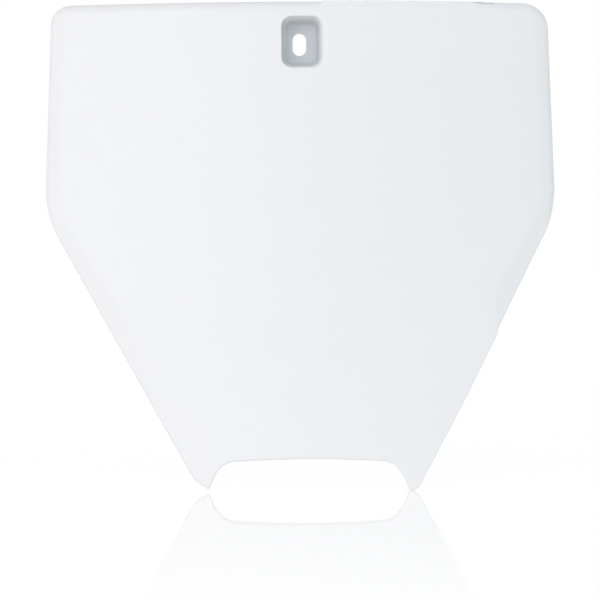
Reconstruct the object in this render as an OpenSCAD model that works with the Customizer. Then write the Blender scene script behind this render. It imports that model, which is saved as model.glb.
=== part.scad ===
// Racing number board for the front of an off-road motorcycle, moulded in one piece.
// Frame: the origin is on the screw's axis, in the plane where the screw pocket bears on its
// bracket. +X is to the right of someone facing the board, +Z is up and -Y is forwards.

/* [Outline] */
// Height of the whole board, from its top edge to the tips of its feet
board_h = 243.2; // [225:0.1:280]
// Height of the top edge above the mounting screw
top_rise = 20.7; // [19:0.1:40]
// Width along the top edge
top_w = 249; // [200:1:290]
// Width at the widest line, where the upright sides meet the tapers
widest_w = 256.6; // [210:0.2:300]
// Distance of the widest line below the mounting screw
widest_drop = 83.5; // [50:0.5:110]
// Width across the outer sides of the two feet
foot_w = 108; // [104:0.2:130]
// Sideways offset of the feet from the mounting screw
foot_shift = 3.6; // [-8:0.2:8]
// Radius of the left top corner
left_corner_r = 9.5; // [6:0.5:16]
// Radius of the right top corner
right_corner_r = 12.5; // [6:0.5:16]
// Radius of the bends at the widest line
bend_r = 50; // [15:1:70]
// Radius of the rounded outer side of the left foot
left_foot_r = 17; // [8:0.5:24]
// Radius of the rounded outer side of the right foot
right_foot_r = 6; // [5:0.5:20]
// Step in the right-hand edge, where its band ends
band_step = 1.1; // [0:0.1:1.4]

/* [Notch] */
// Height of the notch's corners above the tips of the feet
notch_h = 16.1; // [12:0.1:30]
// Width of the notch between the feet's tips
notch_w = 100.4; // [80:0.2:102]
// Lean of the notch's sides away from the upright
notch_lean = 24; // [10:1:35]
// Rise of the notch's arched crest
notch_arch = 1.2; // [0:0.1:4]
// Radius of the notch's corners
notch_r = 12; // [6:0.5:14]

/* [Shell] */
// Wall of the moulding
wall = 2; // [1.6:0.1:3]
// Radius of the crowned face, about an upright axis
crown_r = 450; // [300:5:1200]
// Depth from the face to the rim of the turned-back edge, at the top
rim_depth = 9; // [8:0.5:16]
// Depth from the face to the rim of the turned-back edge, at the feet
foot_rim_depth = 7.5; // [7:0.5:16]

/* [Edges] */
// Slope of the bevelled bands, against the face
band_angle = 13; // [4:0.5:16]
// Width of the bands along the upright sides
band_w = 7; // [4:0.5:12]
// Width of the bands at the feet
band_foot_w = 17.6; // [8:0.2:20]
// Sideways place where the right-hand band ends
band_end_x = 97.5; // [85:0.5:110]
// Radius of the roll-over along the top edge
top_roll = 4.5; // [3:0.1:5]
// Radius of the roll-over along the upright sides
side_roll = 2.6; // [2.2:0.1:3.5]
// Radius of the fine rounding along the tapers, the feet, the notch and the lip
fine_roll = 1.1; // [0.6:0.1:1.5]
// Start of the plain lip in the top edge, to the right of the mounting screw
lip_from = 10.5; // [4:0.5:40]
// End of the plain lip in the top edge, to the right of the mounting screw
lip_to = 93; // [60:0.5:100]

/* [Screw pocket] */
// Depth of the pocket's floor below the face
pocket_depth = 13; // [6:0.5:16]
// Width of the pocket at the face
pocket_w = 20.2; // [19:0.1:30]
// Height of the pocket at the face
pocket_h = 25.6; // [24:0.1:30]
// Corner radius of the pocket at the face
pocket_r = 5.3; // [4.5:0.1:8]
// Inward lean of the pocket's walls, from the face to the floor
pocket_draft = 2.9; // [0.5:0.1:3]
// Sideways offset of the pocket from the screw
pocket_x = 1.2; // [-2:0.1:2]
// Height of the pocket's middle above the screw
pocket_z = 0.4; // [-2:0.1:2]
// Rounding of the pocket's rim at the left, the top and the bottom
rim_round = 0.6; // [0.3:0.1:1.2]
// Rounding of the pocket's rim at the right
soft_rim_round = 2.6; // [1.4:0.1:3]
// Thickness of the pocket's floor
floor_t = 2.5; // [1.5:0.1:4]
// Width of the upright screw slot
slot_w = 6.8; // [4.5:0.1:9]
// Height of the upright screw slot
slot_h = 11.2; // [10:0.1:14]
// Thickness of the gussets behind the pocket
gusset_t = 1.6; // [1:0.1:3]
// Reach of the gussets from the pocket's walls
gusset_l = 11; // [4:0.5:14]

/* [Hidden] */
$fn = 48;
board_colour = "#f1f2f3";

// Places that follow from the sizes above
face_y = -floor_t - pocket_depth;
foot_drop = board_h - top_rise;
notch_drop = foot_drop - notch_h;
flare = (widest_w - top_w) / 2 / (top_rise + widest_drop);
taper = (widest_w - foot_w) / 2 / (foot_drop - widest_drop);
band_slope = tan(band_angle);
band_soft = 1.6;
lean_soft = 4;
lip_ramp = 5;
roll_change = 8;
edge_steps = 6;
step_fade = 50;
inner_roll = 0.4;
gusset_gap = 1.5;

function clamp01(t) = max(0, min(1, t));
function smooth(t) = clamp01(t) * clamp01(t) * (3 - 2 * clamp01(t));
function mix(a, b, t) = a + (b - a) * t;
// Zero below t = 0, t above it, with a soft bend between them
function soft_ramp(t, soft) = (t + sqrt(t * t + soft * soft)) / 2;
// How far below the widest line a height lies, 0 there and 1 at the feet's tips
function below(z) = clamp01((-widest_drop - z) / (foot_drop - widest_drop));

// Outline. Every function takes the inset from the outer edge: 0 for the outside of the
// moulding and its wall for the inside. Sideways places are measured from the middle line.
side_unit = norm([1, flare]);
taper_unit = norm([1, taper]);
function middle(z) = foot_shift * soft_ramp(-widest_drop - z, lean_soft) / (foot_drop - widest_drop);
function side_line(z) = top_w / 2 + flare * (top_rise - z);
function taper_line(z) = foot_w / 2 + taper * (z + foot_drop);

// Centres of the arcs that join the straight edges, and the slopes where they begin
bend_z = -widest_drop + bend_r * (taper_unit - side_unit) / (flare + taper);
bend_x = side_line(bend_z) - bend_r * side_unit;
bend_top = bend_z + bend_r * flare / side_unit;
bend_foot = bend_z - bend_r * taper / taper_unit;
function foot_r(side) = side < 0 ? left_foot_r : right_foot_r;
function foot_z(side) = foot_r(side) - foot_drop;
function foot_x(side) = taper_line(foot_z(side)) - foot_r(side) * taper_unit;
function corner_r(side) = side < 0 ? left_corner_r : right_corner_r;
function arc_x(r, rise) = sqrt(max(0, r * r - rise * rise));
// Outward step of the right-hand edge below the end of its band, dying away towards the foot
band_end_z = (band_end_x - foot_w / 2) / taper - foot_drop;
step_ramp = 5;
function edge_step(z, side) =
    side < 0 ? 0 : band_step * smooth((band_end_z - z) / step_ramp) * smooth((z + foot_drop) / step_fade);
// Half of the outline's width at one height, without its top corners and its feet
function straight_half(z, inset, side) =
    let (r = bend_r - inset)
    z > bend_z + r * flare / side_unit ? side_line(z) - inset * side_unit
        : z < bend_z - r * taper / taper_unit
            ? taper_line(z) - inset * taper_unit + edge_step(z, side)
        : bend_x + arc_x(r, z - bend_z);
// Half of the whole outline's width. The side is negative at the left and positive at the right.
function half_width(z, inset, side) =
    let (foot = foot_r(side) - inset, corner = corner_r(side) - inset,
         foot_rise = z - foot_z(side), corner_rise = z - top_rise + corner_r(side))
    foot_rise < -foot * taper / taper_unit ? foot_x(side) + arc_x(foot, foot_rise)
        : corner_rise > 0 ? straight_half(z, inset, side) - corner + arc_x(corner, corner_rise)
        : straight_half(z, inset, side);
// Sideways run of the outer edge for each millimetre of height
function edge_slope(z) =
    z > bend_top ? -flare
        : z < bend_foot ? taper
        : (bend_z - z) / arc_x(bend_r, z - bend_z);

// Notch between the feet: an arched crest, two round corners and two leaning sides
lean_run = tan(notch_lean);
crest_z = -notch_drop - notch_arch;
corner_turn = 90 - notch_lean;
crest_half = notch_w / 2 - (foot_drop + crest_z) * lean_run - notch_r * tan(corner_turn / 2);
notch_z = crest_z - notch_r;
// Height of the notch's edge at a sideways distance from its middle
function notch_edge(u, inset) =
    let (r = notch_r + inset, out = abs(u) - crest_half)
    out < 0 ? crest_z + inset + notch_arch * (1 - pow(u / crest_half, 2))
        : out < r * cos(notch_lean) ? notch_z + arc_x(r, out)
        : notch_z + r * sin(notch_lean) - (out - r * cos(notch_lean)) / lean_run;

// Distances from a point of the front view to the edges of the outline, counted inwards
function from_top(z) = top_rise - z;
function side_of(x, z) = x < middle(z) ? -1 : 1;
function from_side(x, z) =
    (straight_half(z, 0, side_of(x, z)) - abs(x - middle(z))) / norm([1, edge_slope(z)]);
function from_foot(x, z) =
    let (side = side_of(x, z), r = foot_r(side), rise = z - foot_z(side))
    rise > -r * taper / taper_unit ? r : r - norm([abs(x - middle(z)) - foot_x(side), rise]);
function from_outline(x, z) =
    let (side = from_side(x, z), top = from_top(z), r = corner_r(side_of(x, z)))
    side < r && top < r ? r - norm([r - side, r - top]) : min(side, top, from_foot(x, z));
function from_notch(x, z) =
    let (u = abs(x - foot_shift), out = u - crest_half, up = z - notch_z)
    out < 0 ? z - notch_edge(u, 0)
        : out * lean_run < up ? norm([out, up]) - notch_r
        : out * cos(notch_lean) + up * sin(notch_lean) - notch_r;

// Depth behind the face's front, piece by piece
function crown(x) = crown_r - sqrt(crown_r * crown_r - x * x);
function band_width(z) = mix(band_w, band_foot_w, below(z));
function band_drop(x, z) =
    let (in_band = band_width(z) - from_side(x, z))
    band_slope * soft_ramp(x > 0 ? min(in_band, x - band_end_x) : in_band, band_soft);
function lip(x) = smooth((x - lip_from) / lip_ramp) * smooth((lip_to - x) / lip_ramp);
function roll_radius(x, z) =
    let (side = from_side(x, z), top = from_top(z),
         along_side = mix(side_roll, fine_roll, smooth((-widest_drop - z) / roll_change)),
         along_top = mix(top_roll, fine_roll, lip(x)))
    mix(along_side, along_top, smooth(0.5 + (side - top) / (2 * roll_change)));
function rolled(distance, r) =
    distance >= r ? 0 : r - sqrt(r * r - pow(r - max(0, distance), 2));
// Depth of the skin at one point. The inner skin has the same form, one wall further back.
function skin_depth(x, z, inset) =
    let (outer_roll = roll_radius(x, z),
         roll = inset == 0 ? outer_roll : max(outer_roll - inset, inner_roll),
         notch_roll = inset == 0 ? fine_roll : inner_roll)
    crown(x) + band_drop(x, z) + inset
        + max(rolled(from_outline(x, z) - inset, roll), rolled(from_notch(x, z) - inset, notch_roll));
function rim_y(x, z) = face_y + crown(x) + mix(rim_depth, foot_rim_depth, below(z));

// Columns of the skin's grid. Each is [share of the half width, distance from the edge, share of
// the band's width added to that distance]. They lie close together where the edge rolls over.
roll_columns = [for (k = [0:edge_steps]) [side_roll * (1 - cos(90 * k / edge_steps)), 0]];
band_columns = [for (f = [0.35, 0.7]) [side_roll * (1 - f), f]];
crease_columns = [for (k = [-1:3]) [k * band_soft, 1]];
edge_columns = concat(roll_columns, band_columns, crease_columns);
last_edge = len(edge_columns) - 1;
face_columns = 18;
columns = concat(
    [for (e = edge_columns) [-1, e[0], e[1]]],
    [for (k = [1:face_columns - 1])
        [sin(180 * k / face_columns - 90), edge_columns[last_edge][0], edge_columns[last_edge][1]]],
    [for (k = [last_edge:-1:0]) [1, edge_columns[k][0], edge_columns[k][1]]]);
function column_x(column, z, inset) =
    let (half = half_width(z, inset, column[0]), gap = min(column[1] + column[2] * band_width(z), half))
    middle(z) + column[0] * (half - gap);

// Height at which the rows begin to follow the notch
low_rows_h = 14;
low_row_z = low_rows_h - notch_drop;
rows_side = 4;
rows_bend = 7;
rows_taper = 7;
tall_corner = max(left_corner_r, right_corner_r);
top_gaps = concat(
    [for (k = [0:edge_steps + 1]) top_roll * (1 - cos(90 * k / (edge_steps + 1)))],
    [mix(top_roll, tall_corner, 0.35), mix(top_roll, tall_corner, 0.7), tall_corner + 1]);
// Shares of the way down from the last of these rows to the notch, closer towards its rounding
low_shares = [0.25, 0.5, 0.7, 0.83, 0.91, 0.96, 0.985, 1];
function fixed_rows(inset) = concat(
    [for (gap = top_gaps) top_rise - inset - gap * (tall_corner - inset) / tall_corner],
    [for (k = [1:rows_side]) mix(top_rise - tall_corner - 1, bend_top, k / rows_side)],
    [for (k = [1:rows_bend]) mix(bend_top, bend_foot, k / rows_bend)],
    [for (k = [1:rows_taper]) mix(bend_foot, low_row_z, k / rows_taper)]);
// Height at which a column meets the notch or the tip of its foot, found by halving
function column_end(column, inset, low, high, steps = 24) =
    let (z = (low + high) / 2)
    steps == 0 ? z
        : z > notch_edge(column_x(column, z, inset) - foot_shift, inset)
            ? column_end(column, inset, low, z, steps - 1)
            : column_end(column, inset, z, high, steps - 1);
function column_points(column, inset) =
    let (end = column_end(column, inset, inset - foot_drop, inset - notch_drop + 1),
         heights = concat(fixed_rows(inset), [for (f = low_shares) mix(low_row_z, end, f)]))
    [for (z = heights) let (x = column_x(column, z, inset)) [x, face_y + skin_depth(x, z, inset), z]];

// Skin of the moulding: two grids, joined round their edge by a wall and a rim
module moulded_skin() {
    outer = [for (c = columns) each column_points(c, 0)];
    inner = [for (c = columns) each column_points(c, wall)];
    across = len(columns);
    down = len(fixed_rows(0)) + len(low_shares);
    grid = across * down;
    edge = concat(
        [for (i = [0:across - 1]) i * down],
        [for (j = [1:down - 1]) (across - 1) * down + j],
        [for (i = [across - 2:-1:0]) i * down + down - 1],
        [for (j = [down - 2:-1:1]) j]);
    n = len(edge);
    outer_rim = [for (k = edge) [outer[k][0], rim_y(outer[k][0], outer[k][2]), outer[k][2]]];
    inner_rim = [for (k = edge) [inner[k][0], rim_y(inner[k][0], inner[k][2]), inner[k][2]]];
    rim = 2 * grid;
    points = concat(outer, inner, outer_rim, inner_rim);
    outer_faces = [for (i = [0:across - 2], j = [0:down - 2])
        [i * down + j, (i + 1) * down + j, (i + 1) * down + j + 1, i * down + j + 1]];
    inner_faces = [for (f = outer_faces) [for (k = [3:-1:0]) f[k] + grid]];
    strips = [for (k = [0:n - 1]) let (m = (k + 1) % n) each [
        [edge[m], edge[k], rim + k, rim + m],
        [rim + m, rim + k, rim + n + k, rim + n + m],
        [rim + n + m, rim + n + k, grid + edge[k], grid + edge[m]]]];
    polyhedron(points, concat(outer_faces, inner_faces, strips), convexity = 6);
}

// Rounded rectangle of the front view, exact in its arcs, pressed back from y = 0
module rounded_block(w, h, r, depth) {
    translate([pocket_x, 0, pocket_z]) rotate([-90, 0, 0]) linear_extrude(depth) {
        square([w - 2 * r, h], center = true);
        square([w, h - 2 * r], center = true);
        for (x = [-1, 1], y = [-1, 1]) translate([x * (w / 2 - r), y * (h / 2 - r)]) circle(r);
    }
}

// Ring round the pocket at one depth behind the face. Its left, top and bottom lie "fine" outside
// the pocket's edge at the face, and its right-hand side lies "soft" outside it.
corner_steps = 8;
function pocket_ring(depth, fine, soft) = [
    for (corner = [[1, 1, 0], [-1, 1, 90], [-1, -1, 180], [1, -1, 270]], k = [0:corner_steps])
        let (r = pocket_r + (corner[0] > 0 ? soft : fine), turn = corner[2] + 90 * k / corner_steps)
        [pocket_x + corner[0] * (pocket_w / 2 - pocket_r) + r * cos(turn),
         face_y + depth,
         pocket_z + corner[1] * (pocket_h / 2 + fine - r) + r * sin(turn)]];
function lean(depth) = pocket_draft * depth / pocket_depth;
function rim_growth(r, depth) = depth < r ? r - sqrt(r * r - pow(r - max(0, depth), 2)) : 0;
function cut_ring(depth) = pocket_ring(
    depth, rim_growth(rim_round, depth) - lean(depth), rim_growth(soft_rim_round, depth) - lean(depth));
function box_ring(depth) = pocket_ring(depth, wall - lean(depth), wall - lean(depth));

// Solid between a row of rings that have as many points each, from front to back
module loft(rings) {
    n = len(rings[0]);
    last = (len(rings) - 1) * n;
    polyhedron([for (ring = rings) each ring], concat(
        [[for (k = [n - 1:-1:0]) k]],
        [for (j = [0:len(rings) - 2], k = [0:n - 1]) let (m = (k + 1) % n)
            [j * n + k, j * n + m, (j + 1) * n + m, (j + 1) * n + k]],
        [[for (k = [0:n - 1]) last + k]]), convexity = 2);
}

// The pocket's box, from inside the skin to the plane that bears on the bracket
module pocket_box() {
    loft([box_ring(wall / 2), box_ring(pocket_depth + floor_t)]);
}

// The pocket itself: a rim that closes in on a rounding, drafted walls and a flat floor
module pocket_cut() {
    floor_step = 0.4;
    ahead = 2;
    rim_depths = concat(
        [for (f = [0, 0.13, 0.42, 1]) f * rim_round],
        [for (f = [0.35, 1]) mix(rim_round, soft_rim_round, f)]);
    start = [for (p = cut_ring(0)) p - [0, ahead, 0]];
    loft(concat([start], [for (d = rim_depths) cut_ring(d)], [cut_ring(pocket_depth - floor_step)]));
    translate([0, face_y + ahead, 0]) rounded_block(
        pocket_w - 2 * pocket_draft, pocket_h - 2 * pocket_draft, pocket_r - pocket_draft,
        pocket_depth - ahead);
}

module screw_slot() {
    travel = slot_h - slot_w;
    translate([0, face_y, 0]) rotate([-90, 0, 0]) linear_extrude(2 * pocket_depth + floor_t) {
        square([slot_w, travel], center = true);
        for (s = [-1, 1]) translate([0, s * travel / 2]) circle(slot_w / 2);
    }
}

// One web, from the middle of the pocket's wall out along +X to the back of the face
module gusset() {
    low = face_y + wall / 2;
    top = -gusset_gap;
    function wall_middle(y) = -pocket_draft * (y - face_y) / pocket_depth - wall / 2;
    linear_extrude(gusset_t, center = true)
        polygon([[wall_middle(low), low], [gusset_l, low], [gusset_l, low + wall],
                 [wall_middle(top) + wall, top], [wall_middle(top), top]]);
}

module gussets() {
    translate([pocket_x, 0, pocket_z]) {
        for (side = [0, 1], up = [-1, 1]) mirror([side, 0, 0])
            translate([pocket_w / 2 + wall, 0, up * pocket_h / 5]) gusset();
        for (side = [-1, 1])
            translate([side * pocket_w / 5, 0, -pocket_h / 2 - wall]) rotate([0, 90, 0]) gusset();
    }
}

module number_board() {
    color(board_colour) difference() {
        union() {
            moulded_skin();
            pocket_box();
            gussets();
        }
        pocket_cut();
        screw_slot();
    }
}

number_board();
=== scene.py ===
"""Racing number board: an off-road motorcycle's front board, moulded in white polypropylene."""
import math

import bmesh
import bpy
from bpy.props import FloatProperty, PointerProperty, StringProperty
from bpy.types import Operator, Panel, PropertyGroup
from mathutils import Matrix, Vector


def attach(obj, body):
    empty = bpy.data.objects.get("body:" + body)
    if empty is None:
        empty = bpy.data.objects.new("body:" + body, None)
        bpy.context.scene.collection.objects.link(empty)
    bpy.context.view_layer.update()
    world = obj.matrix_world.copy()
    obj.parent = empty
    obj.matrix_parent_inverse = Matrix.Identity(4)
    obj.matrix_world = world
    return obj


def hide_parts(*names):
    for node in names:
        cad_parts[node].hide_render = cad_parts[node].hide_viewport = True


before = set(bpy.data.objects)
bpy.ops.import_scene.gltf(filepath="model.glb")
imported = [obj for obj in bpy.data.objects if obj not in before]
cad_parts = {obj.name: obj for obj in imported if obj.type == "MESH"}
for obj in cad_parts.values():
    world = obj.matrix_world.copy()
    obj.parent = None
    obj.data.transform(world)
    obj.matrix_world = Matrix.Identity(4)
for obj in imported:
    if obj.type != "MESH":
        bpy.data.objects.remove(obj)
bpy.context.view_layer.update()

bl_info = {
    "name": "Racing number board",
    "version": (1, 0, 0),
    "blender": (4, 5, 0),
    "location": "3D View > Sidebar > Number board",
    "description": "Builds a moulded racing number board and the studio it stands in",
    "category": "Object",
}

MM = 0.001


# Settings


def length(name, description, millimetres):
    """A length in Blender's metres, from a default in millimetres."""
    return FloatProperty(
        name=name, description=description, default=millimetres * MM, precision=4,
        subtype="DISTANCE", unit="LENGTH")


def angle(name, description, degrees):
    """An angle in radians, from a default in degrees."""
    return FloatProperty(
        name=name, description=description, default=math.radians(degrees),
        subtype="ANGLE", unit="ROTATION")


def level(name, description, value):
    """A strength or a share, which has no unit."""
    return FloatProperty(name=name, description=description, default=value)


class OutlineSizes(PropertyGroup):
    """Outline of the board, seen from the front."""

    board_h: length("Height", "Height of the whole board", 243.2)
    top_rise: length("Rise", "Height of the top edge above the mounting screw", 20.7)
    top_w: length("Top width", "Width along the top edge", 249)
    widest_w: length("Greatest width", "Width where the sides meet the tapers", 256.6)
    widest_drop: length("Greatest width below", "Distance of the widest line below the screw", 83.5)
    foot_w: length("Foot width", "Width across the outer sides of the two feet", 108)
    foot_shift: length("Foot offset", "Sideways offset of the feet from the screw", 3.6)
    left_corner_r: length("Left corner", "Radius of the left top corner", 9.5)
    right_corner_r: length("Right corner", "Radius of the right top corner", 12.5)
    bend_r: length("Bend", "Radius of the bends at the widest line", 50)
    left_foot_r: length("Left foot", "Radius of the outer side of the left foot", 17)
    right_foot_r: length("Right foot", "Radius of the outer side of the right foot", 6)
    band_step: length("Band step", "Step in the right-hand edge, where its band ends", 1.1)
    notch_h: length("Notch height", "Height of the notch's corners above the feet's tips", 16.1)
    notch_w: length("Notch width", "Width of the notch between the feet's tips", 100.4)
    notch_lean: angle("Notch lean", "Lean of the notch's sides away from the upright", 24)
    notch_arch: length("Notch arch", "Rise of the notch's arched crest", 1.2)
    notch_r: length("Notch corners", "Radius of the notch's corners", 12)


class ShellSizes(PropertyGroup):
    """Wall, crown, bands and rolled edges of the moulding."""

    wall: length("Wall", "Wall of the moulding", 2)
    crown_r: length("Crown", "Radius of the crowned face, about an upright axis", 450)
    rim_depth: length("Rim depth", "Depth from the face to the rim, at the top", 9)
    foot_rim_depth: length("Foot rim depth", "Depth from the face to the rim, at the feet", 7.5)
    rim_soft: length("Rim rounding", "Rounding of the rim's two edges", 0.35)
    band_angle: angle("Band slope", "Slope of the bevelled bands against the face", 13)
    band_w: length("Band width", "Width of the bands along the upright sides", 7)
    band_foot_w: length("Band width, feet", "Width of the bands at the feet", 17.6)
    band_end_x: length("Band end", "Sideways place where the right-hand band ends", 97.5)
    top_roll: length("Top roll", "Radius of the roll-over along the top edge", 5.3)
    side_roll: length("Side roll", "Radius of the roll-over along the upright sides", 2.6)
    fine_roll: length("Fine roll", "Radius of the rounding at the tapers, feet, notch and lip", 1.1)
    right_taper_roll: length("Right taper roll", "Rounding of the right-hand taper's edge", 0.4)
    lip_from: length("Lip start", "Start of the plain lip in the top edge", 10.5)
    lip_to: length("Lip end", "End of the plain lip in the top edge", 93)
    lip_roll: length("Lip rounding", "Rounding of the lip's own edge", 0.5)
    lip_w: length("Lip width", "Width of the strip along the lip that stands proud", 2)
    lip_step: length("Lip step", "Height of the lip's strip above the face under it", 0.38)


class PocketSizes(PropertyGroup):
    """The recessed pocket of the mounting screw, its slot and the gussets behind it."""

    pocket_depth: length("Depth", "Depth of the pocket's floor below the face", 13)
    pocket_w: length("Width", "Width of the pocket at the face", 20.2)
    pocket_h: length("Height", "Height of the pocket at the face", 25.6)
    pocket_r: length("Corners", "Corner radius of the pocket at the face", 5.3)
    pocket_draft: length("Draft", "Inward lean of the walls, from the face to the floor", 2.9)
    pocket_x: length("Offset", "Sideways offset of the pocket from the screw", 1.2)
    pocket_z: length("Rise", "Height of the pocket's middle above the screw", 0.4)
    rim_round: length("Rim", "Rounding of the pocket's rim", 0.4)
    soft_rim_round: length("Right rim", "Rounding of the pocket's rim at the right", 2.6)
    floor_round: length("Floor rounding", "Rounding where the walls meet the floor", 2.2)
    floor_t: length("Floor", "Thickness of the pocket's floor", 2.5)
    slot_w: length("Slot width", "Width of the upright screw slot", 6.8)
    slot_h: length("Slot height", "Height of the upright screw slot", 11.2)
    edge_round: length("Edge rounding", "Rounding of the slot's and the box's edges", 0.3)
    root_round: length("Root rounding", "Rounding where the box and the gussets meet the back", 0.8)
    gusset_t: length("Gusset thickness", "Thickness of the gussets behind the pocket", 1.6)
    gusset_l: length("Gusset reach", "Reach of the gussets from the pocket's walls", 11)
    gusset_top: length("Gusset top", "Distance of the gussets' tops from the bracket's plane", 1.5)


class BoardFinish(PropertyGroup):
    """Finish of the plastic."""

    white: StringProperty(name="White", description="sRGB colour of the plastic", default="#ECEDEF")
    shade: StringProperty(name="Shade", description="Its slightly darker clouds", default="#EAEBED")
    # Painted shade: the pocket's grey, painted deeper in it and on its left-hand wall.
    eroded: StringProperty(
        name="Pocket", description="sRGB colour of the matt, textured pocket", default="#CCD0D3")
    cloud: length("Cloud size", "Size of the faint clouds in the colour", 60)
    grain: length("Grain size", "Size of the mould's texture, as it is drawn", 0.9)
    grain_depth: length("Grain depth", "Depth of the mould's texture", 0.005)
    roughness: FloatProperty(
        name="Roughness", description="Mean roughness of the satin face", default=0.42,
        subtype="FACTOR")


class StudioSettings(PropertyGroup):
    """Camera, lamp, room and floor."""

    camera_distance: length("Camera distance", "Distance of the camera from the board's face", 1450)
    camera_drop: length("Camera below", "Distance of the camera below the screw", 127.55)
    camera_x: length("Camera sideways", "Sideways place of the camera", -0.34)
    camera_roll: angle("Camera roll", "Turn of the camera about its own axis", 0.3)
    field_w: length("Field", "Width of the picture at the board's face", 297.03)
    lamp_distance: length("Lamp distance", "Distance of the lamp from the board", 1500)
    left_turn: angle("Left turn", "Turn of the left lamp away from the camera's side", -30)
    left_power: FloatProperty(
        name="Left lamp", description="Power of the lamp at the left", default=3.0, unit="POWER")
    ambient: level("Ambient", "Strength of the room's light", 0.94)
    front_level: level("Front", "Strength of the room's light behind the camera", 2.1)
    upwards: level("Upwards", "Rise of the room's light towards the top", -0.44)
    left_level: level("Left", "Further strength of the room's light from the left", 0.22)
    left_tint: StringProperty(
        name="Left tint", description="sRGB colour of the light from the left", default="#FFF4F3")
    right_tint: StringProperty(
        name="Right tint", description="sRGB colour of the light from the right", default="#E2F4F8")
    floor_level: level("Floor", "Strength of the floor's own light on the board", 0.34)
    pool_level: level("Pool", "Further strength of that light close to the board", 0.26)
    floor_body: StringProperty(
        name="Floor body", description="sRGB colour of the floor's body", default="#8C8C8C")
    floor_white: level("Floor white", "Strength with which the camera sees the floor", 0.82)
    mirror: level("Mirror", "Share of the floor's mirror at the board's foot", 0.52)
    far_mirror: level("Far mirror", "Share of the floor's mirror towards the camera", 0.12)


class NumberBoardSettings(PropertyGroup):
    """All settings of the board and its studio."""

    outline: PointerProperty(type=OutlineSizes, name="Outline")
    shell: PointerProperty(type=ShellSizes, name="Shell")
    pocket: PointerProperty(type=PocketSizes, name="Pocket")
    finish: PointerProperty(type=BoardFinish, name="Finish")
    studio: PointerProperty(type=StudioSettings, name="Studio")


# Form of the board


def clamp01(t):
    return max(0.0, min(1.0, t))


def smooth(t):
    t = clamp01(t)
    return t * t * (3 - 2 * t)


def mix(a, b, t):
    return a + (b - a) * t


def soft_ramp(t, soft):
    """Zero below t = 0 and t above it, with a soft bend between them."""
    return (t + math.hypot(t, soft)) / 2


def growth(radius, depth):
    """How far a rounding still falls short, at a depth or distance from where it starts."""
    left = max(0.0, radius - max(0.0, depth))
    return radius - math.sqrt(radius * radius - left * left)


def quarter(steps, first=0):
    """Angles of a quarter turn in even steps, from 0 to 90 degrees."""
    return [math.pi / 2 * k / steps for k in range(first, steps + 1)]


def split(start, end, steps):
    """Even steps from start to end, without the start."""
    return [mix(start, end, k / steps) for k in range(1, steps + 1)]


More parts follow.
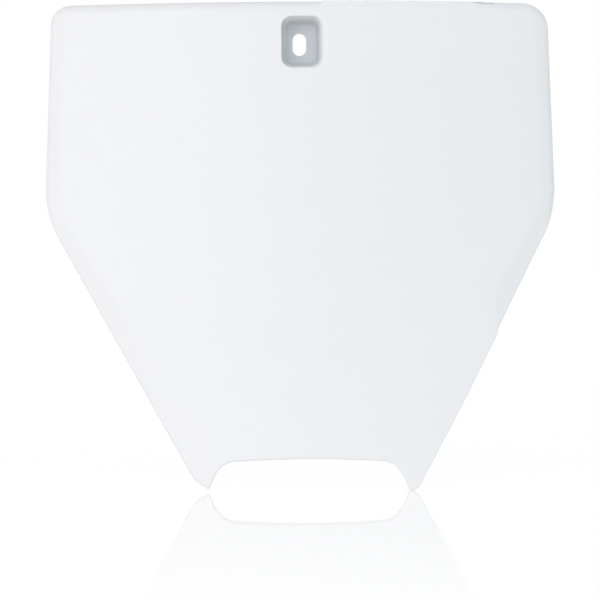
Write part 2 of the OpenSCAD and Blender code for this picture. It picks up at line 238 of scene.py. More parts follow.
class BoardForm:
    """The moulding's form, as functions of a place in the front view, in metres.

    An inset of 0 gives the outside of the moulding, and an inset of its wall gives the inside.
    """

    # Stretches over which one part of the form turns into the next, and the rounding of the
    # inner skin's edge.
    band_soft = 0.9 * MM
    lean_soft = 4 * MM
    lip_ramp = 1.5 * MM
    lip_fall = 0.5 * MM
    lip_fade = 4.2 * MM
    roll_change = 8 * MM
    step_ramp = 5 * MM
    step_fade = 50 * MM
    inner_roll = 0.4 * MM

    # Depth behind the face from which the pocket has its matt material with painted shade. The rim
    # softens to the right, from this cosine of the direction and over this much more of it.
    rim_clear = 0.25 * MM
    soft_rim_start = 0.3
    soft_rim_span = 0.5

    # Columns of the grid: over the roll, on the band, at its crease, out to the pocket, beside
    # the pocket, and where the lip ends.
    roll_columns = 8
    band_columns = (0.15, 0.3, 0.45, 0.58)
    crease_columns = (-0.9, -0.45, 0, 0.45, 0.9, 1.5, 2.3)
    face_columns = 20
    hole_columns = 28
    lip_columns = (-0.3, 0, 0.35, 0.7, 1, 1.3)

    # Rows of the grid: down to the pocket, beside it, along the sides, the bends, the tapers,
    # the right-hand edge's step and the feet, and close above the notch and over its rounding.
    # The step's rows start and end at these heights from the band's end, and the notch's own
    # rows start at the last height above its corners.
    top_rows = 18
    hole_rows = 32
    side_rows = 15
    bend_rows = 14
    taper_rows = 18
    step_rows = 9
    foot_rows = 13
    notch_rows = (0.2, 0.4, 0.58, 0.72, 0.84, 0.93)
    notch_roll_rows = 7
    notch_reach = 1.2
    step_top = 1 * MM
    step_foot = -6 * MM
    low_rows_h = 14 * MM

    # The grid's opening round the pocket, and the halvings that find a place on a line.
    hole_w = 28.4 * MM
    hole_h = 31.8 * MM
    notch_halvings = 30
    ray_halvings = 26

    def __init__(self, *groups):
        for group in groups:
            for name in type(group).__annotations__:
                setattr(self, name, getattr(group, name))
        self.face_y = -self.floor_t - self.pocket_depth
        self.foot_drop = self.board_h - self.top_rise
        self.notch_drop = self.foot_drop - self.notch_h
        self.flare = (self.widest_w - self.top_w) / 2 / (self.top_rise + self.widest_drop)
        self.taper = (self.widest_w - self.foot_w) / 2 / (self.foot_drop - self.widest_drop)
        self.side_unit = math.hypot(1, self.flare)
        self.taper_unit = math.hypot(1, self.taper)
        turn = (self.taper_unit - self.side_unit) / (self.flare + self.taper)
        self.bend_z = -self.widest_drop + self.bend_r * turn
        self.bend_x = self.side_line(self.bend_z) - self.bend_r * self.side_unit
        self.bend_top = self.bend_z + self.bend_r * self.flare / self.side_unit
        self.bend_foot = self.bend_z - self.bend_r * self.taper / self.taper_unit
        self.band_end_z = (self.band_end_x - self.foot_w / 2) / self.taper - self.foot_drop
        self.crest_z = -self.notch_drop - self.notch_arch
        self.lean_run = math.tan(self.notch_lean)
        corner = self.notch_r * math.tan((math.pi / 2 - self.notch_lean) / 2)
        top_half = self.notch_w / 2 - (self.foot_drop + self.crest_z) * self.lean_run
        self.crest_half = top_half - corner
        self.notch_z = self.crest_z - self.notch_r
        self.low_row_z = self.low_rows_h - self.notch_drop
        self.hole_top = self.pocket_z + self.hole_h / 2
        self.hole_foot = self.pocket_z - self.hole_h / 2

    def below(self, z):
        """How far below the widest line a height lies: 0 there, and 1 at the feet's tips."""
        return clamp01((-self.widest_drop - z) / (self.foot_drop - self.widest_drop))

    def middle(self, z):
        drop = soft_ramp(-self.widest_drop - z, self.lean_soft)
        return self.foot_shift * drop / (self.foot_drop - self.widest_drop)

    def side_line(self, z):
        return self.top_w / 2 + self.flare * (self.top_rise - z)

    def taper_line(self, z):
        return self.foot_w / 2 + self.taper * (z + self.foot_drop)

    def foot(self, side):
        """Radius of a foot's outer side, and its centre's distance from the middle and height."""
        r = self.left_foot_r if side < 0 else self.right_foot_r
        z = r - self.foot_drop
        return r, self.taper_line(z) - r * self.taper_unit, z

    def corner_r(self, side):
        return self.left_corner_r if side < 0 else self.right_corner_r

    def edge_step(self, z, side):
        """The right-hand edge steps out below the end of its band, and dies away to the foot."""
        if side < 0:
            return 0.0
        start = smooth((self.band_end_z - z) / self.step_ramp)
        return self.band_step * start * smooth((z + self.foot_drop) / self.step_fade)

    def straight_half(self, z, inset, side):
        """Half of the width at one height, without the top corners and the feet."""
        r = self.bend_r - inset
        if z > self.bend_z + r * self.flare / self.side_unit:
            return self.side_line(z) - inset * self.side_unit
        if z < self.bend_z - r * self.taper / self.taper_unit:
            return self.taper_line(z) - inset * self.taper_unit + self.edge_step(z, side)
        return self.bend_x + math.sqrt(r * r - (z - self.bend_z) ** 2)

    def half_width(self, z, inset, side):
        r, foot_x, foot_z = self.foot(side)
        r -= inset
        if z - foot_z < -r * self.taper / self.taper_unit:
            return foot_x + math.sqrt(max(0.0, r * r - (z - foot_z) ** 2))
        half = self.straight_half(z, inset, side)
        corner = self.corner_r(side) - inset
        rise = z - self.top_rise + self.corner_r(side)
        if rise > 0:
            half += math.sqrt(max(0.0, corner * corner - rise * rise)) - corner
        return half

    def edge_slope(self, z):
        """Sideways run of the outer edge for each metre of height."""
        if z > self.bend_top:
            return -self.flare
        if z < self.bend_foot:
            return self.taper
        rise = self.bend_z - z
        return rise / math.sqrt(self.bend_r**2 - rise * rise)

    def notch_edge(self, u, inset):
        """Height of the notch's edge, at a sideways distance from its middle."""
        r = self.notch_r + inset
        out = abs(u) - self.crest_half
        if out < 0:
            return self.crest_z + inset + self.notch_arch * (1 - (u / self.crest_half) ** 2)
        if out < r * math.cos(self.notch_lean):
            return self.notch_z + math.sqrt(r * r - out * out)
        straight = out - r * math.cos(self.notch_lean)
        return self.notch_z + r * math.sin(self.notch_lean) - straight / self.lean_run

    def from_side(self, x, z):
        """Distance of a place from the side's edge, counted inwards."""
        u = x - self.middle(z)
        return (self.straight_half(z, 0, u) - abs(u)) / math.hypot(1, self.edge_slope(z))

    def from_outline(self, x, z):
        """Distance of a place from the outer edge, counted inwards."""
        u = x - self.middle(z)
        side, top, corner = self.from_side(x, z), self.top_rise - z, self.corner_r(u)
        if side < corner and top < corner:
            return corner - math.hypot(corner - side, corner - top)
        r, foot_x, foot_z = self.foot(u)
        if z - foot_z > -r * self.taper / self.taper_unit:
            return min(side, top)
        return min(side, top, r - math.hypot(abs(u) - foot_x, z - foot_z))

    def from_notch(self, x, z):
        """Distance of a place from the notch's edge, counted into the plastic."""
        out = abs(x - self.foot_shift) - self.crest_half
        up = z - self.notch_z
        if out < 0:
            return z - self.notch_edge(x - self.foot_shift, 0)
        if out * self.lean_run < up:
            return math.hypot(out, up) - self.notch_r
        return out * math.cos(self.notch_lean) + up * math.sin(self.notch_lean) - self.notch_r

    def crown(self, x):
        return self.crown_r - math.sqrt(self.crown_r**2 - x * x)

    def band_width(self, z):
        return mix(self.band_w, self.band_foot_w, self.below(z))

    def band_drop(self, x, z):
        """How far a bevelled band lies behind the crowned face."""
        into = self.band_width(z) - self.from_side(x, z)
        if x > 0:
            into = min(into, x - self.band_end_x)
        return math.tan(self.band_angle) * soft_ramp(into, self.band_soft)

    def lip(self, x):
        """Share of the lip: 1 along it, and 0 past its ends."""
        start = smooth((x - self.lip_from) / self.lip_ramp)
        return start * smooth((self.lip_to - x) / self.lip_ramp)

    def lip_drop(self, x, z):
        """How far the face falls back under the lip's strip. It rises again softly below."""
        under = self.top_rise - z - self.lip_w
        fade = 1 - clamp01((under - self.lip_fall) / self.lip_fade)
        return self.lip_step * self.lip(x) * smooth(under / self.lip_fall) * fade * fade

    def roll_radius(self, x, z):
        side, top = self.from_side(x, z), self.top_rise - z
        down = smooth((-self.widest_drop - z) / self.roll_change)
        taper_roll = self.fine_roll if x < 0 else self.right_taper_roll
        along_side = mix(self.side_roll, taper_roll, down)
        along_top = mix(self.top_roll, self.lip_roll, self.lip(x))
        return mix(along_side, along_top, smooth(0.5 + (side - top) / (2 * self.roll_change)))

    def skin_y(self, x, z, inset):
        """Depth of the skin at one place."""
        roll, notch_roll = self.roll_radius(x, z), self.fine_roll
        if inset:
            roll, notch_roll = max(roll - inset, self.inner_roll), self.inner_roll
        edge = growth(roll, self.from_outline(x, z) - inset)
        notch = growth(notch_roll, self.from_notch(x, z) - inset)
        drop = self.band_drop(x, z) + (0 if inset else self.lip_drop(x, z))
        return self.face_y + self.crown(x) + drop + inset + max(edge, notch)

    def rim_y(self, x, z):
        return self.face_y + self.crown(x) + mix(self.rim_depth, self.foot_rim_depth, self.below(z))

    def inward(self, co):
        """Direction from a place at the edge into the plastic, in the front view."""
        def depth(x, z):
            return min(self.from_outline(x, z), self.from_notch(x, z))
        step = 0.05 * MM
        across = depth(co.x + step, co.z) - depth(co.x - step, co.z)
        up = depth(co.x, co.z + step) - depth(co.x, co.z - step)
        return Vector((across, 0, up)).normalized()

    def columns(self):
        """Columns of the skin: share of the half width, gap to the edge and share of the band.

        They lie close over the roll and at the band's crease, and evenly beside the pocket. The
        second list holds the numbers of the first and last column beside the pocket's hole.
        """
        rolls = [(self.side_roll * (1 - math.cos(a)), 0) for a in quarter(self.roll_columns)]
        band = [(self.side_roll * (1 - f), f) for f in self.band_columns]
        crease = [(k * self.band_soft, 1) for k in self.crease_columns]
        edge = rolls + band + crease
        gap, share = edge[-1]
        reach = self.half_width(0, 0, -1) - gap - share * self.band_w
        left = (self.pocket_x - self.hole_w / 2) / reach
        right = (self.pocket_x + self.hole_w / 2) / reach
        towards = [smooth(k / self.face_columns) for k in range(1, self.face_columns)]
        shares = [mix(-1, left, t) for t in towards]
        first = len(edge) + len(shares)
        beyond = [mix(right, 1, t) for t in towards]
        beyond += [(self.lip_to - k * self.lip_ramp) / reach for k in self.lip_columns]
        shares += [left] + split(left, right, self.hole_columns) + sorted(beyond)
        places = [(-1, *e) for e in edge] + [(s, gap, share) for s in shares]
        return places + [(1, *e) for e in edge[::-1]], [first, first + self.hole_columns]

    def column_x(self, column, z, inset):
        share, gap, band = column
        half = self.half_width(z, inset, share)
        return self.middle(z) + share * (half - min(gap + band * self.band_width(z), half))

    def rows(self, inset):
        """Heights of the rows that every column has, from the top down to the notch's corners.

        The second list holds the numbers of the first and last row beside the pocket's hole.
        """
        top = self.top_rise - inset
        heights = [mix(top, self.hole_top, 1 - math.cos(a)) for a in quarter(self.top_rows)]
        first = len(heights) - 1
        stages = [
            (self.hole_foot, self.hole_rows), (self.bend_top, self.side_rows),
            (self.bend_foot, self.bend_rows), (self.band_end_z + self.step_top, self.taper_rows),
            (self.band_end_z + self.step_foot, self.step_rows), (self.low_row_z, self.foot_rows)]
        for end, steps in stages:
            heights += split(heights[-1], end, steps)
        return heights, [first, first + self.hole_rows]

    def column_heights(self, column, rows, inset):
        """All heights of one column. Its lowest rows close in on the notch's rounding."""
        low, high = inset - self.foot_drop, inset - self.notch_drop + MM
        for _ in range(self.notch_halvings):
            end = (low + high) / 2
            if end > self.notch_edge(self.column_x(column, end, inset) - self.foot_shift, inset):
                high = end
            else:
                low = end
        roll = self.notch_reach * self.fine_roll
        near = [mix(self.low_row_z, end + roll, f) for f in self.notch_rows]
        over = [end + roll * (1 - math.sin(a)) for a in quarter(self.notch_roll_rows)]
        return rows + near + over

    def from_pocket(self, x, z):
        """Distance of a place from the pocket's edge at the face, counted outwards."""
        u = abs(x - self.pocket_x) - self.pocket_w / 2 + self.pocket_r
        v = abs(z - self.pocket_z) - self.pocket_h / 2 + self.pocket_r
        return math.hypot(max(u, 0), max(v, 0)) + min(max(u, v), 0) - self.pocket_r

    def from_slot(self, x, z):
        """Distance of a place from the screw slot's edge, counted outwards."""
        travel = (self.slot_h - self.slot_w) / 2
        return math.hypot(x, max(abs(z) - travel, 0)) - self.slot_w / 2

    def ray(self, co):
        """Direction from the pocket's middle to a place, in the front view."""
        return Vector((co.x - self.pocket_x, co.z - self.pocket_z)).normalized()

    def on_ray(self, co, distance, offset):
        """Place on the ray through co where a distance has the value of offset."""
        ray = self.ray(co)
        low, high = 0.0, self.hole_h
        for _ in range(self.ray_halvings):
            t = (low + high) / 2
            if distance(self.pocket_x + t * ray.x, self.pocket_z + t * ray.y) > offset:
                high = t
            else:
                low = t
        return self.pocket_x + t * ray.x, self.pocket_z + t * ray.y

    def lean(self, depth):
        return self.pocket_draft * depth / self.pocket_depth

    def rim_radius(self, co):
        """Rounding of the pocket's rim, which is softer at its right-hand side."""
        soft = smooth((self.ray(co).x - self.soft_rim_start) / self.soft_rim_span)
        return mix(self.rim_round, self.soft_rim_round, soft)

    def pocket_place(self, co, offset, depth):
        """Place at an offset from the pocket's edge and a depth below the face."""
        x, z = self.on_ray(co, self.from_pocket, offset)
        crown = self.crown(x) * max(0.0, 1 - depth / self.pocket_depth)
        return Vector((x, self.face_y + crown + depth, z))

    def floor_place(self, co, offset, t, y):
        """Place between the pocket's wall, at t = 0, and the slot, at t = 1."""
        wall = Vector(self.on_ray(co, self.from_pocket, offset))
        slot = Vector(self.on_ray(co, self.from_slot, self.edge_round))
        x, z = wall.lerp(slot, t)
        return Vector((x, y, z))

    def slot_place(self, co, offset, y):
        x, z = self.on_ray(co, self.from_slot, offset)
        return Vector((x, y, z))


# Mesh of the board

# Flat ring that keeps the shading of the face apart from a rounding in it.
SKIRT = 0.35 * MM
# The gussets stand this part of the pocket's height or width off its middle.
GUSSET_PART = 5
# Edges that turn by more than this are sharp.
SHARP_TURN = math.radians(50)
# Rings of edges over each rounding and down each wall.
RIM_RINGS = 6
WALL_RINGS = 6
FLOOR_RINGS = 5
ROOT_RINGS = 4
BOX_RINGS = 5
EDGE_RINGS = 3
RIM_EDGE_RINGS = 4
# Rings on the pocket's floor and on the bearing face behind it, as shares of the way inwards.
FLOOR_SHARES = (0.15, 0.5, 0.85, 1)
SEAT_SHARES = (0.1, 0.5, 0.9, 1)


def skin(bm, form, inset):
    """One skin of the moulding, open at the pocket. Returns its outer edges and the hole's."""
    columns, (left, right) = form.columns()
    rows, (top, foot) = form.rows(inset)
    heights = [form.column_heights(column, rows, inset) for column in columns]
    across, down = len(columns) - 1, len(heights[0]) - 1
    made = bmesh.ops.create_grid(bm, x_segments=across, y_segments=down, size=0.5)["verts"]
    beside = set()
    inside = []
    for v in made:
        i, j = round((v.co.x + 0.5) * across), round((0.5 - v.co.y) * down)
        z = heights[i][j]
        x = form.column_x(columns[i], z, inset)
        v.co = (x, form.skin_y(x, z, inset), z)
        if left <= i <= right and top <= j <= foot:
            beside.add(v)
            if left < i < right and top < j < foot:
                inside.append(v)
    bmesh.ops.delete(bm, geom=inside, context="VERTS")
    kept = {v for v in made if v.is_valid}
    edges = [e for e in bm.edges if e.is_boundary and e.verts[0] in kept]
    hole = [e for e in edges if beside.issuperset(e.verts)]
    return [e for e in edges if e not in hole], hole


def grow(bm, ring, place):
    """Extrudes a ring of edges once, and moves each new corner to where place puts it."""
    made = bmesh.ops.extrude_edge_only(bm, edges=ring)["geom"]
    corners = {item for item in made if isinstance(item, bmesh.types.BMVert)}
    for v in corners:
        v.co = place(v.co.copy())
    return [e for e in made if isinstance(e, bmesh.types.BMEdge) and corners.issuperset(e.verts)]


def pocket(bm, form, ring):
    """The pocket seen from the front: rim, drafted walls, floor and the slot's edge."""
    deep, soft, slot = form.pocket_depth, form.floor_round, form.edge_round
    edge = -form.lean(deep) - soft
    ring = grow(bm, ring, lambda co: form.pocket_place(co, form.rim_radius(co) + SKIRT, 0))
    for a in quarter(RIM_RINGS):
        def rounding(co):
            r = form.rim_radius(co)
            depth = r * (1 - math.cos(a))
            return form.pocket_place(co, r * (1 - math.sin(a)) - form.lean(depth), depth)
        ring = grow(bm, ring, rounding)
    for t in split(0, 1, WALL_RINGS):
        def wall(co):
            depth = mix(form.rim_radius(co), deep - soft, t)
            return form.pocket_place(co, -form.lean(depth), depth)
        ring = grow(bm, ring, wall)
    for a in quarter(FLOOR_RINGS, first=1):
        depth = deep - soft + soft * math.sin(a)
        offset = -form.lean(depth) - soft * (1 - math.cos(a))
        ring = grow(bm, ring, lambda co: form.pocket_place(co, offset, depth))
    for t in FLOOR_SHARES:
        ring = grow(bm, ring, lambda co: form.floor_place(co, edge, t, -form.floor_t))
    for a in quarter(EDGE_RINGS, first=1):
        y = slot * (1 - math.cos(a)) - form.floor_t
        ring = grow(bm, ring, lambda co: form.slot_place(co, slot * (1 - math.sin(a)), y))
    return ring


def box(bm, form, ring):
    """The pocket seen from behind: root, outer walls, bearing face and the slot's edge."""
    root, slot = form.root_round, form.edge_round
    deep = form.pocket_depth + form.floor_t
    edge = form.wall - form.lean(deep) - slot
    for out, a in [(SKIRT, 0)] + [(0, a) for a in quarter(ROOT_RINGS)]:
        depth = form.wall + root * (1 - math.cos(a))
        offset = form.wall - form.lean(depth) + root * (1 - math.sin(a)) + out
        ring = grow(bm, ring, lambda co: form.pocket_place(co, offset, depth))
    for depth in split(form.wall + root, deep - slot, BOX_RINGS):
        ring = grow(bm, ring, lambda co: form.pocket_place(co, form.wall - form.lean(depth), depth))
    for a in quarter(EDGE_RINGS, first=1):
        depth = deep - slot * (1 - math.sin(a))
        offset = edge + slot * math.cos(a)
        ring = grow(bm, ring, lambda co: form.pocket_place(co, offset, depth))
    for t in SEAT_SHARES:
        ring = grow(bm, ring, lambda co: form.floor_place(co, edge, t, 0))
    for a in quarter(EDGE_RINGS, first=1):
        y = -slot * (1 - math.cos(a))
        ring = grow(bm, ring, lambda co: form.slot_place(co, slot * (1 - math.sin(a)), y))
    return ring


def gusset(bm, form, foot, out, across):
    """One triangular gusset between the pocket's outer wall and the back of the face."""
    low, top = form.face_y + form.wall / 2, -form.gusset_top
    for v in bmesh.ops.create_cube(bm, size=1)["verts"]:
        outer, high = v.co.x > 0, v.co.y > 0
        y = top if high else low
        reach = -form.lean(y - form.face_y) - form.wall / 2
        if outer:
            reach = reach + form.wall if high else form.gusset_l
        place = foot + out * reach + across * math.copysign(form.gusset_t / 2, v.co.z)
        v.co = (place.x, y + (form.wall / 2 if outer and not high else 0), place.y)


def rim(bm, form, ring, turn):
    """The edge's wall and half of its rounded rim. Turn is 1 outside and -1 inside."""
    soft = form.rim_soft
    ring = grow(bm, ring, lambda co: Vector((co.x, form.rim_y(co.x, co.z) - soft, co.z)))
    places = [
        Vector((soft * (1 - math.cos(a)), soft * math.sin(a))) for a in quarter(RIM_EDGE_RINGS)]
    for before, after in zip(places, places[1:]):
        step = after - before
        ring = grow(
            bm, ring, lambda co: co + form.inward(co) * turn * step.x + Vector((0, step.y, 0)))
    return ring


def board_mesh(form):
    """The whole moulding as one mesh, with its wall, rim, pocket, box and gussets."""
    bm = bmesh.new()
    slots, rims = [], []
    for inset, turn, middle in ((0, 1, pocket), (form.wall, -1, box)):
        outer, hole = skin(bm, form, inset)
        before = set(bm.faces)
        slots += middle(bm, form, hole)
        # The pocket's faces, past the rim, take the matt material with painted shade.
        for face in bm.faces:
            deep = face.calc_center_median().y > form.face_y + form.rim_clear
            if inset == 0 and deep and face not in before:
                face.material_index = 1
        rims += rim(bm, form, outer, turn)
    bmesh.ops.bridge_loops(bm, edges=slots)
    bmesh.ops.bridge_loops(bm, edges=rims)
    if any(e.is_boundary for e in bm.edges):
        raise RuntimeError("the moulding has an open edge")
    sideways, down = Vector((1, 0)), Vector((0, -1))
    for side in (-1, 1):
        for up in (-1, 1):
            foot = Vector((form.pocket_x + side * (form.pocket_w / 2 + form.wall),
                           form.pocket_z + up * form.pocket_h / GUSSET_PART))
            gusset(bm, form, foot, side * sideways, down)
        foot = Vector((form.pocket_x + side * form.pocket_w / GUSSET_PART,
                       form.pocket_z - form.pocket_h / 2 - form.wall))
        gusset(bm, form, foot, down, sideways)
    bmesh.ops.recalc_face_normals(bm, faces=bm.faces)
    for face in bm.faces:
        face.smooth = True
    for edge in bm.edges:
        edge.smooth = edge.calc_face_angle(0) < SHARP_TURN
    return bm


# Materials

# Refraction of polypropylene, and how far and how much light goes into it.
PLASTIC_IOR = 1.49
PLASTIC_GLOW = 0.06
PLASTIC_GLOW_REACH = 2 * MM
# Lowest and highest roughness on the satin face and in the matt pocket, from the mean one.
SATIN_SPREAD = (-0.04, 0.04)
MATT_SPREAD = (0.16, 0.24)
# Depth of the eroded texture, in depths of the face's own.
MATT_GRAIN = 3
# Finer octaves in the clouds and in the grain.
CLOUD_DETAIL, GRAIN_DETAIL = 3.0, 2.0
# The painted pocket shade sets in between these depths below the face, and on the left-hand
# wall between these distances from the rim.
PAINTED_SHADE_DEPTHS = (2 * MM, 12 * MM)
PAINTED_SHADE_AT_LEFT = (3 * MM, 1.2 * MM)
# Places in front of the board, in metres, between which the floor's mirror comes up, and from
# which the floor's light does.
MIRROR_FROM, MIRROR_TO = -0.56, -0.17
POOL_FROM = -0.9
# Roughness of the floor's mirror.
FLOOR_GLOSS = 0.03
WHITE = "#FFFFFF"
# The light behind the camera and that from the left set in between these cosines.
FRONT_CONE = (0.6, 0.97)
LEFT_CONE = (-0.3, -1.0)


def linear(hex_colour):
    """Linear colour with alpha, from an sRGB hex value."""
    levels = [int(hex_colour[k:k + 2], 16) / 255 for k in (1, 3, 5)]
    return [v / 12.92 if v <= 0.04045 else ((v + 0.055) / 1.055) ** 2.4 for v in levels] + [1.0]


def add_node(tree, kind, links=(), **settings):
    """Adds a node. Settings are its own options or its sockets' values, and links feed sockets.

    The links name their sockets, or feed them in order, as where two have the same name.
    """
    node = tree.nodes.new(kind)
    values = {}
    for name, value in settings.items():
        if hasattr(node, name):
            setattr(node, name, value)
        else:
            values[name.replace("_", " ")] = value
    sockets = {s.name: s for s in list(node.inputs)[::-1] if s.enabled}
    for name, value in values.items():
        sockets[name].default_value = value
    if not isinstance(links, dict):
        sockets, links = node.inputs, dict(enumerate(links))
    for key, source in links.items():
        tree.links.new(source, sockets[key])
    return node


def result(node):
    """First output that a node has in use."""
    return next(s for s in node.outputs if s.enabled)


def new_material(name):
    material = bpy.data.materials.new(name)
    material.use_nodes = True
    material.node_tree.nodes.clear()
    return material, material.node_tree


def moulded_polypropylene(finish, form, eroded):
    """White injection-moulded polypropylene.

    A polished mould leaves a satin face that is even in colour, with a very fine texture that
    breaks up the light, and the resin lets a little light into the wall. The pocket's part of the
    mould is spark-eroded and not polished, which leaves it matt. Its grey is painted shade, deeper
    in the pocket and on the left-hand wall.
    """
    name = "spark_eroded_polypropylene" if eroded else "injection_moulded_polypropylene"
    low, high = MATT_SPREAD if eroded else SATIN_SPREAD
    material, tree = new_material(name)
    place = add_node(tree, "ShaderNodeTexCoord").outputs["Object"]
    clouds = add_node(
        tree, "ShaderNodeTexNoise", {"Vector": place}, Scale=1 / finish.cloud,
        Detail=CLOUD_DETAIL)
    tint = add_node(
        tree, "ShaderNodeMix", {"Factor": clouds.outputs["Fac"]}, data_type="RGBA",
        A=linear(finish.shade), B=linear(finish.white))
    colour = result(tint)
    if eroded:
        # Painted shade: the pocket is painted grey with depth below the rim, and sooner on the left
        # wall.
        apart = add_node(tree, "ShaderNodeSeparateXYZ", {"Vector": place})
        from_depth, to_depth = PAINTED_SHADE_DEPTHS
        deep = add_node(
            tree, "ShaderNodeMapRange", {"Value": apart.outputs["Y"]},
            interpolation_type="SMOOTHSTEP",
            From_Min=form.face_y + from_depth, From_Max=form.face_y + to_depth)
        left_rim = form.pocket_x - form.pocket_w / 2
        from_left, to_left = PAINTED_SHADE_AT_LEFT
        left = add_node(
            tree, "ShaderNodeMapRange", {"Value": apart.outputs["X"]},
            From_Min=left_rim + from_left, From_Max=left_rim + to_left)
        share = add_node(
            tree, "ShaderNodeMath", [result(deep), result(left)], operation="MAXIMUM")
        colour = result(add_node(
            tree, "ShaderNodeMix", {"Factor": result(share), "A": colour}, data_type="RGBA",
            B=linear(finish.eroded)))
    # The real texture is finer than a pixel, so it is drawn a few times coarser.
    grain = add_node(
        tree, "ShaderNodeTexNoise", {"Vector": place}, Scale=1 / finish.grain,
        Detail=GRAIN_DETAIL)
    sheen = add_node(
        tree, "ShaderNodeMapRange", {"Value": clouds.outputs["Fac"]},
        To_Min=finish.roughness + low, To_Max=finish.roughness + high)
    bump = add_node(
        tree, "ShaderNodeBump", {"Height": grain.outputs["Fac"]}, Strength=1.0,
        Distance=finish.grain_depth * (MATT_GRAIN if eroded else 1))
    plastic = add_node(
        tree, "ShaderNodeBsdfPrincipled",
        {"Base Color": colour, "Roughness": result(sheen), "Normal": result(bump)},
        IOR=PLASTIC_IOR, Subsurface_Weight=PLASTIC_GLOW, Subsurface_Scale=PLASTIC_GLOW_REACH)
    add_node(tree, "ShaderNodeOutputMaterial", {"Surface": result(plastic)})
    return material


def white_ray(tree):
    """1 for the rays that show the white surroundings, and 0 for the rays that carry light."""
    rays = add_node(tree, "ShaderNodeLightPath").outputs
    white = rays["Is Camera Ray"]
    for ray in ("Is Glossy Ray", "Is Transmission Ray"):
        white = result(add_node(
            tree, "ShaderNodeMath", [white, rays[ray]], operation="MAXIMUM"))
    return white


def acrylic_sheet(studio):
    """Glossy white acrylic sheet under the board: a soft mirror that fades towards the camera.

    Cast acrylic is polished like glass, so it shows the board's foot clearly, and its white body
    throws soft light up at the board.
    """
    material, tree = new_material("white_acrylic_sheet")
    place = add_node(tree, "ShaderNodeTexCoord").outputs["Object"]
    apart = add_node(tree, "ShaderNodeSeparateXYZ", {"Vector": place})
    fade = add_node(
        tree, "ShaderNodeMapRange", {"Value": apart.outputs["Y"]},
        From_Min=MIRROR_FROM, From_Max=MIRROR_TO, To_Min=studio.far_mirror, To_Max=studio.mirror)
    pool = add_node(
        tree, "ShaderNodeMapRange", {"Value": apart.outputs["Y"]},
        From_Min=POOL_FROM, From_Max=0.0, To_Min=studio.floor_level,
        To_Max=studio.floor_level + studio.pool_level)
    strength = add_node(
        tree, "ShaderNodeMapRange", {"Value": white_ray(tree), "To Min": result(pool)},
        To_Max=studio.floor_white)
    glow = add_node(
        tree, "ShaderNodeEmission", {"Strength": result(strength)}, Color=linear(WHITE))
    body = add_node(tree, "ShaderNodeBsdfDiffuse", Color=linear(studio.floor_body))
    matt = add_node(tree, "ShaderNodeAddShader", [result(glow), result(body)])
    gloss = add_node(tree, "ShaderNodeBsdfGlossy", Color=linear(WHITE), Roughness=FLOOR_GLOSS)
    sheet = add_node(tree, "ShaderNodeMixShader", [result(fade), result(matt), result(gloss)])
    add_node(tree, "ShaderNodeOutputMaterial", {"Surface": result(sheet)})
    return material


def studio_room(studio):
    """White surroundings, which light the board unevenly, as a small studio does.

    Their light is stronger from behind the camera and from the left, and weaker towards the top.
    It is a little warm at the left and cool at the right.
    """
    world = bpy.data.worlds.new("studio_room")
    world.use_nodes = True
    tree = world.node_tree
    tree.nodes.clear()
    direction = add_node(tree, "ShaderNodeTexCoord").outputs["Generated"]
    front = add_node(tree, "ShaderNodeVectorMath", [direction], operation="DOT_PRODUCT")
    front.inputs[1].default_value = (0, -1, 0)
    slope = add_node(tree, "ShaderNodeVectorMath", [direction], operation="DOT_PRODUCT")
    slope.inputs[1].default_value = (0, 0, studio.upwards)
    from_front, to_front = FRONT_CONE
    ahead = add_node(
        tree, "ShaderNodeMapRange", {"Value": front.outputs["Value"]},
        interpolation_type="SMOOTHSTEP", From_Min=from_front, From_Max=to_front,
        To_Min=studio.ambient, To_Max=studio.front_level)
    light = add_node(
        tree, "ShaderNodeMath", [result(ahead), slope.outputs["Value"]], operation="ADD")
    apart = add_node(tree, "ShaderNodeSeparateXYZ", {"Vector": direction})
    from_left, to_left = LEFT_CONE
    left = add_node(
        tree, "ShaderNodeMapRange", {"Value": apart.outputs["X"]},
        interpolation_type="SMOOTHSTEP", From_Min=from_left, From_Max=to_left,
        To_Max=studio.left_level)
    lit = add_node(tree, "ShaderNodeMath", [result(light), result(left)], operation="ADD")
    across = add_node(tree, "ShaderNodeMapRange", {"Value": apart.outputs["X"]}, From_Min=-1.0)
    tint = add_node(
        tree, "ShaderNodeMix", {"Factor": result(across)}, data_type="RGBA",
        A=linear(studio.left_tint), B=linear(studio.right_tint))
    colour = add_node(
        tree, "ShaderNodeBackground", {"Color": result(tint), "Strength": result(lit)})
    white = add_node(tree, "ShaderNodeBackground", Color=linear(WHITE), Strength=1.0)
    seen = add_node(
        tree, "ShaderNodeMixShader", [white_ray(tree), result(colour), result(white)])
    add_node(tree, "ShaderNodeOutputWorld", {"Surface": result(seen)})
    return world


# Operators

# Half of the floor's side, the lamp's width and height, and its angle above the camera's side.
FLOOR_HALF = 6
LAMP_W, LAMP_H = 1.0, 0.6
LAMP_RISE = math.radians(8)


def new_object(name, bm, *materials):
    """Makes an object from a finished bmesh, at the origin."""
    mesh = bpy.data.meshes.new(name)
    bm.to_mesh(mesh)
    bm.free()
    for material in materials:
        mesh.materials.append(material)
    thing = bpy.data.objects.new(name, mesh)
    bpy.context.scene.collection.objects.link(thing)
    return thing


def soft_lamp(name, power, turn, target, distance):
    """A large rectangular lamp, as a softbox gives it, turned and raised from the camera's side."""
    data = bpy.data.lights.new(name, "AREA")
    data.shape = "RECTANGLE"
    data.energy = power
    data.size, data.size_y = LAMP_W, LAMP_H
    flat = math.cos(LAMP_RISE)
    away = Vector((math.sin(turn) * flat, -math.cos(turn) * flat, math.sin(LAMP_RISE)))
    lamp = bpy.data.objects.new(name, data)
    lamp.location = target + away * distance
    lamp.rotation_euler = (-away).to_track_quat("-Z", "Y").to_euler()
    lamp.visible_camera = False
    bpy.context.scene.collection.objects.link(lamp)


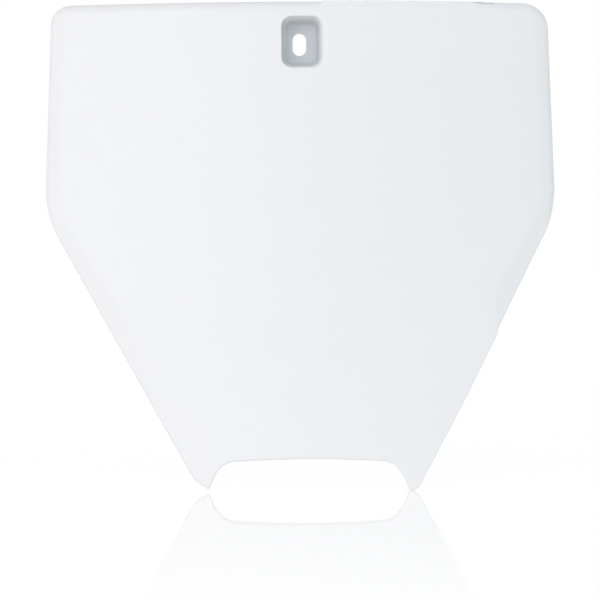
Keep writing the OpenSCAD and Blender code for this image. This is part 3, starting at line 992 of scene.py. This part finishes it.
class NUMBERBOARD_OT_board(Operator):
    """Moulds the board: crowned face, bands, rolled edges, rim, screw pocket and gussets"""

    bl_idname = "number_board.board"
    bl_label = "Mould the board"

    def execute(self, context):
        settings = context.scene.number_board
        form = BoardForm(settings.outline, settings.shell, settings.pocket)
        # The second material is the pocket's matt plastic with painted shade.
        board = new_object(
            "moulded_board", board_mesh(form), moulded_polypropylene(settings.finish, form, False),
            moulded_polypropylene(settings.finish, form, True))
        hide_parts("number_board")
        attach(board, "root")
        return {"FINISHED"}


class NUMBERBOARD_OT_studio(Operator):
    """Sets up the glossy white floor, the soft lamp, the room's light and the camera"""

    bl_idname = "number_board.studio"
    bl_label = "Set up the studio"

    def execute(self, context):
        settings = context.scene.number_board
        studio, form = settings.studio, BoardForm(settings.outline, settings.shell, settings.pocket)
        sheet = bmesh.new()
        bmesh.ops.create_grid(sheet, x_segments=1, y_segments=1, size=FLOOR_HALF)
        bmesh.ops.translate(sheet, verts=sheet.verts, vec=(0, 0, -form.foot_drop))
        new_object("studio_floor", sheet, acrylic_sheet(studio))

        middle = Vector((0, form.face_y, -studio.camera_drop))
        soft_lamp(
            "left_lamp", studio.left_power, studio.left_turn, middle, studio.lamp_distance)
        context.scene.world = studio_room(studio)

        data = bpy.data.cameras.new("studio_camera")
        data.lens = data.sensor_width * studio.camera_distance / studio.field_w
        camera = bpy.data.objects.new("studio_camera", data)
        camera.location = (
            studio.camera_x, form.face_y - studio.camera_distance, -studio.camera_drop)
        camera.rotation_euler = (math.radians(90), studio.camera_roll, 0)
        context.scene.collection.objects.link(camera)
        context.scene.camera = camera
        context.scene.view_settings.view_transform = "Standard"
        return {"FINISHED"}


class NUMBERBOARD_PT_tools(Panel):
    """Lists the pieces in the order in which they are made."""

    bl_label = "Racing number board"
    bl_idname = "NUMBERBOARD_PT_tools"
    bl_space_type = "VIEW_3D"
    bl_region_type = "UI"
    bl_category = "Number board"

    def draw(self, context):
        settings = context.scene.number_board
        for operator in OPERATORS:
            self.layout.operator(operator.bl_idname)
        for group_name in type(settings).__annotations__:
            group = getattr(settings, group_name)
            column = self.layout.column()
            for name in type(group).__annotations__:
                column.prop(group, name)


OPERATORS = (NUMBERBOARD_OT_board, NUMBERBOARD_OT_studio)
CLASSES = (
    OutlineSizes, ShellSizes, PocketSizes, BoardFinish, StudioSettings, NumberBoardSettings,
    *OPERATORS, NUMBERBOARD_PT_tools)


def register():
    for cls in CLASSES:
        bpy.utils.register_class(cls)
    bpy.types.Scene.number_board = PointerProperty(type=NumberBoardSettings)


def unregister():
    del bpy.types.Scene.number_board
    for cls in reversed(CLASSES):
        bpy.utils.unregister_class(cls)


def main():
    register()
    bpy.ops.number_board.board()
    bpy.ops.number_board.studio()


if __name__ == "__main__":
    main()
